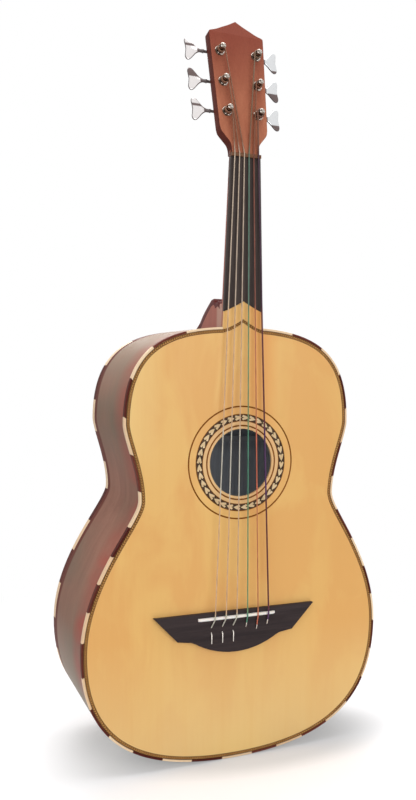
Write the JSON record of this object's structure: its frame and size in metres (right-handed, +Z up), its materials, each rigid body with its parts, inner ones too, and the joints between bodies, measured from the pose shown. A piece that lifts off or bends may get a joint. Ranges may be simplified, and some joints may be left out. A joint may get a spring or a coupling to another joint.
{
  "type": "guitarron",
  "caption": "Large fretless bass guitar with a convex back, round sound hole, moustache bridge, peaked head and worm-geared tuning machines whose keys turn their posts.",
  "frame": {"origin": "middle of the end graft's bottom face at the tail, half the rim's depth behind the soundboard", "axes": "+Z up along the strings from the tail to the head, +X to the viewer's right, the soundboard faces -Y"},
  "size_m": [0.4652, 0.2563, 1.076],
  "materials": {
    "line_wood": "lacquered dark wood line",
    "mosaic": "lacquered wood mosaic",
    "spruce": "clear-lacquered spruce",
    "rope_wood": "lacquered brown rope inlay",
    "block_binding": "lacquered cream and dark blocks",
    "red_wood": "glossy red-brown lacquer",
    "dark_wood": "oiled dark wood",
    "inner_wood": "bare wood",
    "head_wood": "glossy red-brown lacquer",
    "nut_bone": "polished bone, tan",
    "bridge_wood": "satin dark wood",
    "bone": "polished bone",
    "string_pale": "silver-plated winding",
    "string_green": "green nylon",
    "string_red": "red nylon",
    "string_plum": "plum nylon",
    "chrome": "mirror chrome plating"
  },
  "bodies": {
    "guitarron": {"rosette_inner_line": "line_wood", "rosette_mosaic": "mosaic", "rosette_outer_line": "line_wood", "soundboard": "spruce", "top_purfling": "rope_wood", "top_binding": "block_binding", "back_binding": "block_binding", "side_left": "red_wood", "side_right": "red_wood", "end_graft": "dark_wood", "top_lining_left": "inner_wood", "back_lining_left": "inner_wood", "top_lining_right": "inner_wood", "back_lining_right": "inner_wood", "back_left": "red_wood", "back_right": "red_wood", "back_centre_strip": "inner_wood", "back_brace_lower": "inner_wood", "back_brace_upper": "inner_wood", "top_brace_lower": "inner_wood", "top_brace_upper": "inner_wood", "bridge_patch": "inner_wood", "tail_block": "inner_wood", "neck": "red_wood", "headstock": "head_wood", "fingerboard": "dark_wood", "nut": "nut_bone", "bridge": "bridge_wood", "saddle": "bone", "string_1_pale": "string_pale", "string_2_pale": "string_pale", "string_3_pale": "string_pale", "string_4_green": "string_green", "string_5_red": "string_red", "string_6_plum": "string_plum", "tuner_1_ferrule": "chrome", "tuner_1_plate": "chrome", "tuner_2_ferrule": "chrome", "tuner_2_plate": "chrome", "tuner_3_ferrule": "chrome", "tuner_3_plate": "chrome", "tuner_4_ferrule": "chrome", "tuner_4_plate": "chrome", "tuner_5_ferrule": "chrome", "tuner_5_plate": "chrome", "tuner_6_ferrule": "chrome", "tuner_6_plate": "chrome"},
    "tuner_1_key": {"tuner_1_key": "chrome"},
    "tuner_1_post": {"tuner_1_post": "chrome"},
    "tuner_2_key": {"tuner_2_key": "chrome"},
    "tuner_2_post": {"tuner_2_post": "chrome"},
    "tuner_3_key": {"tuner_3_key": "chrome"},
    "tuner_3_post": {"tuner_3_post": "chrome"},
    "tuner_4_key": {"tuner_4_key": "chrome"},
    "tuner_4_post": {"tuner_4_post": "chrome"},
    "tuner_5_key": {"tuner_5_key": "chrome"},
    "tuner_5_post": {"tuner_5_post": "chrome"},
    "tuner_6_key": {"tuner_6_key": "chrome"},
    "tuner_6_post": {"tuner_6_post": "chrome"}
  },
  "joints": [
    {"name": "tuner_1_key_turn", "type": "hinge", "parent": "guitarron", "child": "tuner_1_key", "pos_m": [-0.0247, -0.05783, 0.93926], "axis": [1, 0, 0], "continuous": true},
    {"name": "tuner_1_post_turn", "type": "hinge", "parent": "guitarron", "child": "tuner_1_post", "pos_m": [-0.0247, -0.08158, 0.93432], "axis": [0, -0.9759, 0.2181], "continuous": true},
    {"name": "tuner_2_key_turn", "type": "hinge", "parent": "guitarron", "child": "tuner_2_key", "pos_m": [-0.027, -0.04773, 0.98444], "axis": [1, 0, 0], "continuous": true},
    {"name": "tuner_2_post_turn", "type": "hinge", "parent": "guitarron", "child": "tuner_2_post", "pos_m": [-0.027, -0.07148, 0.9795], "axis": [0, -0.9759, 0.2181], "continuous": true},
    {"name": "tuner_3_key_turn", "type": "hinge", "parent": "guitarron", "child": "tuner_3_key", "pos_m": [-0.0287, -0.03739, 1.0307], "axis": [1, 0, 0], "continuous": true},
    {"name": "tuner_3_post_turn", "type": "hinge", "parent": "guitarron", "child": "tuner_3_post", "pos_m": [-0.0287, -0.06114, 1.02576], "axis": [0, -0.9759, 0.2181], "continuous": true},
    {"name": "tuner_4_key_turn", "type": "hinge", "parent": "guitarron", "child": "tuner_4_key", "pos_m": [0.0287, -0.03739, 1.0307], "axis": [1, 0, 0], "continuous": true},
    {"name": "tuner_4_post_turn", "type": "hinge", "parent": "guitarron", "child": "tuner_4_post", "pos_m": [0.0287, -0.06114, 1.02576], "axis": [0, -0.9759, 0.2181], "continuous": true},
    {"name": "tuner_5_key_turn", "type": "hinge", "parent": "guitarron", "child": "tuner_5_key", "pos_m": [0.027, -0.04773, 0.98444], "axis": [1, 0, 0], "continuous": true},
    {"name": "tuner_5_post_turn", "type": "hinge", "parent": "guitarron", "child": "tuner_5_post", "pos_m": [0.027, -0.07148, 0.9795], "axis": [0, -0.9759, 0.2181], "continuous": true},
    {"name": "tuner_6_key_turn", "type": "hinge", "parent": "guitarron", "child": "tuner_6_key", "pos_m": [0.0247, -0.05783, 0.93926], "axis": [1, 0, 0], "continuous": true},
    {"name": "tuner_6_post_turn", "type": "hinge", "parent": "guitarron", "child": "tuner_6_post", "pos_m": [0.0247, -0.08158, 0.93432], "axis": [0, -0.9759, 0.2181], "continuous": true}
  ],
  "couplings": [
    {"joint": "tuner_1_post_turn", "follows": "tuner_1_key_turn", "ratio": 0.071429},
    {"joint": "tuner_2_post_turn", "follows": "tuner_2_key_turn", "ratio": 0.071429},
    {"joint": "tuner_3_post_turn", "follows": "tuner_3_key_turn", "ratio": 0.071429},
    {"joint": "tuner_4_post_turn", "follows": "tuner_4_key_turn", "ratio": 0.071429},
    {"joint": "tuner_5_post_turn", "follows": "tuner_5_key_turn", "ratio": 0.071429},
    {"joint": "tuner_6_post_turn", "follows": "tuner_6_key_turn", "ratio": 0.071429}
  ]
}
